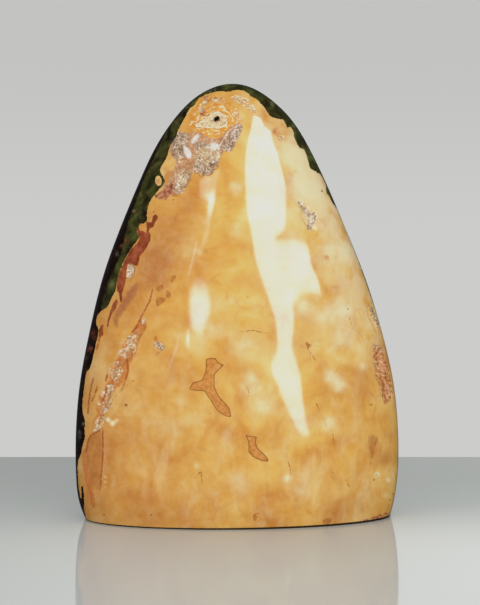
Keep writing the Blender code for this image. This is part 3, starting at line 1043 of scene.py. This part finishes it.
# The studio: a glossy pale table slab, a grey backdrop and soft lights
studio = {
    "slabFront": -0.62,
    "slabBack": 0.381,
    "slabHalf": 0.80,
    "slabThick": 0.02,
    "slabColour": "#d3d7d4",
    "slabGloss": "#f2f7f4",
    "slabShine": 0.65,  # a wiped acrylic mirrors less than a new one
    "slabMirrored": "#3c3d3b",
    "slabRough": (0.05, 0.09),
    "slabIor": 1.49,
    "slabHaze": 6.0,
    "backdrop": ("#cccccb", "#c3c4c1"),
    # name, place, aim, width, height, watts; the polish reflects the cards and not these
    "lights": (
        ("frontSoftbox", (0.40, -1.70, 0.32), (0.0, 0.0, 0.10), 1.20, 0.80, 15.8),
        ("leftSoftbox", (-1.10, -1.10, 0.40), (0.0, 0.0, 0.10), 0.60, 0.80, 3.8),
    ),
    "ambient": 0.60,
    "dark": 0.03,  # what the polish reflects where there is no card
    # along which way each fades, from where to where, and from how much to how much
    "fades": {
        "level": ("Z", 0.133, 0.167, 0.28, 1.07),  # the backdrop as polished things reflect it
        "behind": ("Y", 0.940, 0.965, 0.0, 1.0),
        "tone": ("Z", 0.04, 0.18, 0.0, 1.0),
    },
    "wallTilt": 1.8,  # how much brighter its right side is
    "cardFar": 1.6,
    "cardApart": 0.02,
    "cardStep": 4,  # in pixels
    "cardStrength": 0.84,
    "cardEdge": ((0, 0.33, 0.67, 1.0), (0, 0.26, 0.74, 1.0)),  # share of the soft edge, and glow
    "cardInner": 5,  # columns between the two soft edges
    "firstDepth": 1.5,  # ray depth that the second reflection passes
    "raySteps": 12,
    "rayStart": -0.05,
    "cardTint": "#eff2ff",
    "cardPower": 11.0,
    "transform": "Standard",
    # the photograph's soft shoulder: light in, light out
    "shoulder": ((0.0, 0.0), (0.62, 0.62), (0.80, 0.735), (1.10, 0.762), (2.0, 0.77)),
}

# Where the photograph shows the light cards in the polish: down, left edge, right edge, strength;
# each card has its soft edge in pixels first, and a row without a strength has the usual one
cardRows = {
    "tallCard": (
        2.0,
        (115.4, 253, 256.5, 0.6), (118.4, 252.2, 262, 0.9), (126, 250.6, 264.6), (131, 249.4, 271.6),
        (142, 247, 273.6), (153, 244.8, 278.3), (164, 244.5, 281), (176, 244.4, 284.4),
        (188, 244.7, 286.8), (209, 246, 286.4), (223, 248.4, 286.2), (230, 250, 284), (236, 251.4, 277),
        (240, 252, 274.8), (243.4, 252.3, 275.8), (244.6, 252.4, 308.6), (257.6, 254.2, 310.5),
        (270, 257.8, 314), (279.5, 261.4, 319), (285, 262.6, 320.4), (292.6, 265.6, 321.4),
        (293.8, 266, 302.5), (299.4, 268.2, 294.6), (306, 270.4, 292.6), (312, 272.6, 295.2),
        (324, 275.6, 294.8), (331, 276, 293.9), (346, 277, 292.3), (352, 276.5, 293.5),
        (358.5, 272.6, 296), (364.6, 270.4, 298.2), (375, 272, 300.6), (388, 278, 302.5),
        (400, 282, 303.6, 0.8), (407.4, 286.2, 304.6, 0.78), (418.7, 291.3, 306.4, 0.74),
        (428, 296.4, 308.6, 0.72), (434.4, 300.5, 310.2, 0.7),
    ),
    "sideHaze": (
        3.0,
        (166, 213, 220.6, 0.1), (175, 199, 219.8, 0.22), (186, 198, 218, 0.26), (197, 198, 216, 0.24),
        (202, 204, 214, 0.2), (217, 206, 212.6, 0.24), (229, 204.6, 210.6, 0.26), (241, 201, 208, 0.22),
        (252, 197, 203, 0.12), (262, 194, 200, 0.05),
    ),
    "sideCard": (
        1.6,
        (190, 210, 217.4, 0.2), (194, 208.8, 216, 0.7), (200, 208.2, 215, 0.9), (207, 207.6, 214, 0.9),
        (213, 206.8, 212.8, 0.7), (218, 206, 211.6, 0.1),
    ),
    "sideLine": (
        1.2,
        (241, 195.6, 198.2, 0.2), (247, 194.4, 197, 0.5), (256, 192.2, 194.8, 0.5), (266, 189.6, 192.4, 0.4),
        (276, 186.6, 189.8, 0.3), (281, 185.4, 188, 0.05),
    ),
    "sideBlob": (
        6.0,
        (279, 191, 209, 0.05), (284, 189.5, 210, 0.3), (290, 188, 210, 0.6), (296, 187.2, 211, 0.85),
        (303, 187, 213, 1.0), (310, 187.2, 213, 1.0), (316.4, 187.6, 211.4, 1.0), (322, 188, 209, 0.95),
        (328, 188.6, 206, 0.9), (331.4, 192, 205, 0.7), (336, 200.6, 205, 0.2),
    ),
    "sideSliver": (
        0.8,
        (331, 186, 189.6, 0.6), (334, 186, 189.6, 0.85), (344, 186.2, 189.6, 0.8), (347.4, 187, 189.4, 0.3),
    ),
    "sideTail": (
        1.2,
        (335, 177.4, 180.2, 0.05), (343, 176, 179.2, 0.3), (350, 174.2, 177.6, 0.38),
        (357, 171.2, 174.4, 0.38), (364, 168.8, 171.8, 0.3), (370, 166.8, 169.8, 0.08),
    ),
}


def emptyTree(owner):
    owner.use_nodes = True
    owner.node_tree.nodes.clear()
    return owner.node_tree


def slabMaterial():
    # cast acrylic sheet: smooth, pale grey, with a clear reflection at a low angle
    material = bpy.data.materials.new("glossySlab")
    tree = emptyTree(material)
    place = addNode(tree, "TexCoord").outputs["Object"]
    haze = addNode(tree, "TexNoise", {"Vector": place, "Scale": studio["slabHaze"], "Detail": 2.0})
    low, high = studio["slabRough"]
    rough = addNode(tree, "MapRange", {"Value": haze, "To Min": low, "To Max": high})
    # dimmer where the stone's polish shows it, as in the photograph
    mirrored = addNode(tree, "LightPath").outputs["Is Glossy Ray"]
    shades = {0: mirrored, 6: linear(studio["slabColour"]), 7: linear(studio["slabMirrored"])}
    shade = addNode(tree, "Mix", shades, data_type="RGBA").outputs[2]
    body = addNode(tree, "BsdfDiffuse", {"Color": shade})
    polish = addNode(tree, "BsdfGlossy", {"Color": linear(studio["slabGloss"]), "Roughness": rough})
    fresnel = addNode(tree, "Fresnel", {"IOR": studio["slabIor"]})
    share = addNode(tree, "Math", {0: fresnel, 1: studio["slabShine"]}, operation="MULTIPLY")
    mixed = addNode(tree, "MixShader", {0: share, 1: body, 2: polish})
    addNode(tree, "OutputMaterial", {"Surface": mixed})
    return material


def addStudio():
    deselectAll()
    middle = (studio["slabFront"] + studio["slabBack"]) / 2
    bpy.ops.mesh.primitive_cube_add(size=1, location=(0, middle, -studio["slabThick"] / 2))
    slab = bpy.context.object
    slab.name = "tableSlab"
    slab.dimensions = (2 * studio["slabHalf"], studio["slabBack"] - studio["slabFront"], studio["slabThick"])
    bpy.ops.object.transform_apply(location=True, rotation=False, scale=True)
    slab.data.materials.append(slabMaterial())

    for name, spot, aim, wide, tall, watts in studio["lights"]:
        bpy.ops.object.light_add(type="AREA", location=spot)
        lamp = bpy.context.object
        lamp.name = name
        lamp.rotation_euler = (Vector(aim) - Vector(spot)).to_track_quat("-Z", "Y").to_euler()
        lamp.data.shape = "RECTANGLE"
        lamp.data.size, lamp.data.size_y = wide, tall
        lamp.data.energy = watts
        lamp.visible_camera = lamp.visible_glossy = False


def reflectedWays(across, down):
    # where the camera's rays through these pixels meet the stone's front, and the ways they leave it
    eye = np.array((photo["across"], -photo["distance"], photo["height"]))
    sideways, upward = (across - photo["wide"] / 2) / focal, (photo["high"] / 2 - down) / focal
    ways = np.stack((sideways, np.ones(len(across)), upward), axis=-1)
    deep = np.full(len(across), studio["rayStart"])
    for _ in range(studio["raySteps"]):
        spots = eye + ways * (deep + photo["distance"])[:, None]
        met, outward = facePoints(spots[:, 0], spots[:, 2], -1)
        deep = met[:, 1]
    ways /= np.linalg.norm(ways, axis=1, keepdims=True)
    return met, ways - 2 * (ways * outward).sum(axis=1, keepdims=True) * outward


def cardMaterial():
    # a translucent softbox cloth, brightest away from its edges
    material = bpy.data.materials.new("softboxCloth")
    tree = emptyTree(material)
    glow = addNode(tree, "Attribute", attribute_name="glow").outputs["Fac"]
    # only the first reflection shows the card, so that the table doesn't double it
    turn = addNode(tree, "LightPath").outputs["Ray Depth"]
    first = addNode(tree, "Math", {0: turn, 1: studio["firstDepth"]}, operation="LESS_THAN")
    glow = addNode(tree, "Math", {0: glow, 1: first}, operation="MULTIPLY")
    cloth = {"Color": linear(studio["cardTint"]), "Strength": studio["cardPower"]}
    light = addNode(tree, "Emission", cloth)
    clear = addNode(tree, "BsdfTransparent")
    mixed = addNode(tree, "MixShader", {0: glow, 1: clear, 2: light})
    addNode(tree, "OutputMaterial", {"Surface": mixed})
    return material


def addCards():
    # each card lies on a large ball round the stone, where the camera sees its reflection in its rows
    cloth = cardMaterial()
    centre = np.array((0, 0, form["height"] / 2))
    for number, (name, (soft, *rows)) in enumerate(cardRows.items()):
        table = np.array([(*row, studio["cardStrength"])[:4] for row in rows])
        downs = [table[0, 0]]
        for above, below in zip(table[:-1, 0], table[1:, 0]):
            steps = max(1, round((below - above) / studio["cardStep"]))
            downs += [above + (below - above) * (i + 1) / steps for i in range(steps)]
        downs = np.array(downs)
        left, right, strong = (np.interp(downs, table[:, 0], table[:, i]) for i in (1, 2, 3))
        edge = np.minimum(soft, (right - left) / 2)
        (shares, glows), inner = studio["cardEdge"], studio["cardInner"]
        parts = [(i + 1) / (inner + 1) for i in range(inner)]
        columns = [left + edge * share for share in shares]
        columns += [left + edge + (right - left - 2 * edge) * part for part in parts]
        columns = np.stack(columns + [right - edge * share for share in shares[::-1]])
        fades = np.array((*glows, *[1.0] * inner, *glows[::-1]))
        deselectAll()
        bpy.ops.mesh.primitive_grid_add(x_subdivisions=len(fades) - 1, y_subdivisions=len(downs) - 1, size=2)
        card = bpy.context.object
        card.name = name
        flat = verticesOf(card)
        column = np.rint((flat[:, 0] + 1) / 2 * (len(fades) - 1)).astype(int)
        row = np.rint((flat[:, 1] + 1) / 2 * (len(downs) - 1)).astype(int)
        met, ways = reflectedWays(columns[column, row], downs[row])
        off = met - centre
        along = (off * ways).sum(axis=1)
        far = studio["cardFar"] + studio["cardApart"] * number
        reach = -along + np.sqrt(along**2 - (off**2).sum(axis=1) + far**2)
        moveVertices(card, met + ways * reach[:, None])
        addLayer(card, "glow", fades[column] * strong[row])
        card.data.materials.append(cloth)
        card.visible_camera = card.visible_diffuse = card.visible_shadow = False


def addRoom():
    world = bpy.data.worlds.new("greyRoom")
    bpy.context.scene.world = world
    tree = emptyTree(world)
    seen = addNode(tree, "LightPath").outputs
    way = addNode(tree, "SeparateXYZ", {0: addNode(tree, "TexCoord").outputs["Generated"]}).outputs
    fades = {}
    for name, (axis, start, end, low, high) in studio["fades"].items():
        inputs = {"Value": way[axis], "From Min": start, "From Max": end, "To Min": low, "To Max": high}
        fades[name] = addNode(tree, "MapRange", inputs, interpolation_type="SMOOTHSTEP")
    # what polished things reflect: a dark studio with the lit backdrop straight behind
    lit = addNode(tree, "Math", {0: way["X"], 1: studio["wallTilt"], 2: 1.0}, operation="MULTIPLY_ADD")
    for name in ("level", "behind"):
        lit = addNode(tree, "Math", {0: lit, 1: fades[name]}, operation="MULTIPLY")
    lit = addNode(tree, "Math", {0: lit, 1: studio["dark"]}, operation="MAXIMUM")
    low, high = (linear(shade) for shade in studio["backdrop"])
    tone = addNode(tree, "Mix", {0: fades["tone"], 6: low, 7: high}, data_type="RGBA").outputs[2]
    white = linear("#ffffff")
    room = addNode(tree, "Background", {"Color": white, "Strength": studio["ambient"]})
    mirrored = addNode(tree, "Background", {"Color": white, "Strength": lit})
    wall = addNode(tree, "Background", {"Color": tone, "Strength": 1.0})
    mixed = addNode(tree, "MixShader", {0: seen["Is Glossy Ray"], 1: room, 2: mirrored})
    mixed = addNode(tree, "MixShader", {0: seen["Is Camera Ray"], 1: mixed, 2: wall})
    addNode(tree, "OutputWorld", {"Surface": mixed})
    shown = bpy.context.scene.view_settings
    shown.view_transform = studio["transform"]
    shown.use_curve_mapping = True
    curves, top = shown.curve_mapping, studio["shoulder"][-1][0]
    curves.white_level = (top, top, top)
    curves.extend = "HORIZONTAL"
    line = curves.curves[3]
    for i, (light, out) in enumerate(studio["shoulder"]):
        if i == 0:
            point = line.points[0]
        elif i == len(studio["shoulder"]) - 1:
            point = line.points[-1]
        else:
            point = line.points.new(light / top, out)
        point.location = (light / top, out)
        point.handle_type = "VECTOR" if i < 2 else "AUTO_CLAMPED"
    curves.update()


addCamera()
stone = makeStone()
print("stone formed", len(stone.data.vertices))
# more points along the markings' edges, and then in the raw crystal
first = measure(verticesOf(stone))
wanted = nearestOf(first, "druse", "white", "vug", "dots", "hole") < form["rawNear"]
wanted |= (first["crackFelt"] > 0) | (first["seamFelt"] > 0)
for name in ("rind", "red", "shard", "eye", "night"):
    wanted |= np.abs(first[name]) < form["edgeNear"]
splitFaces(stone, wanted)
second = measure(verticesOf(stone))
splitFaces(stone, nearestOf(second, "druse", "white", "vug", "hole") < form["rawClose"])
print("points added", len(stone.data.vertices))
carve(stone)
print("pits carved")
stone.data.materials.append(jasperMaterial(markStone(stone)))
print("markings laid")
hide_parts("jasper_stone")
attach(stone, "root")
addStudio()
addCards()
addRoom()
print("studio set")
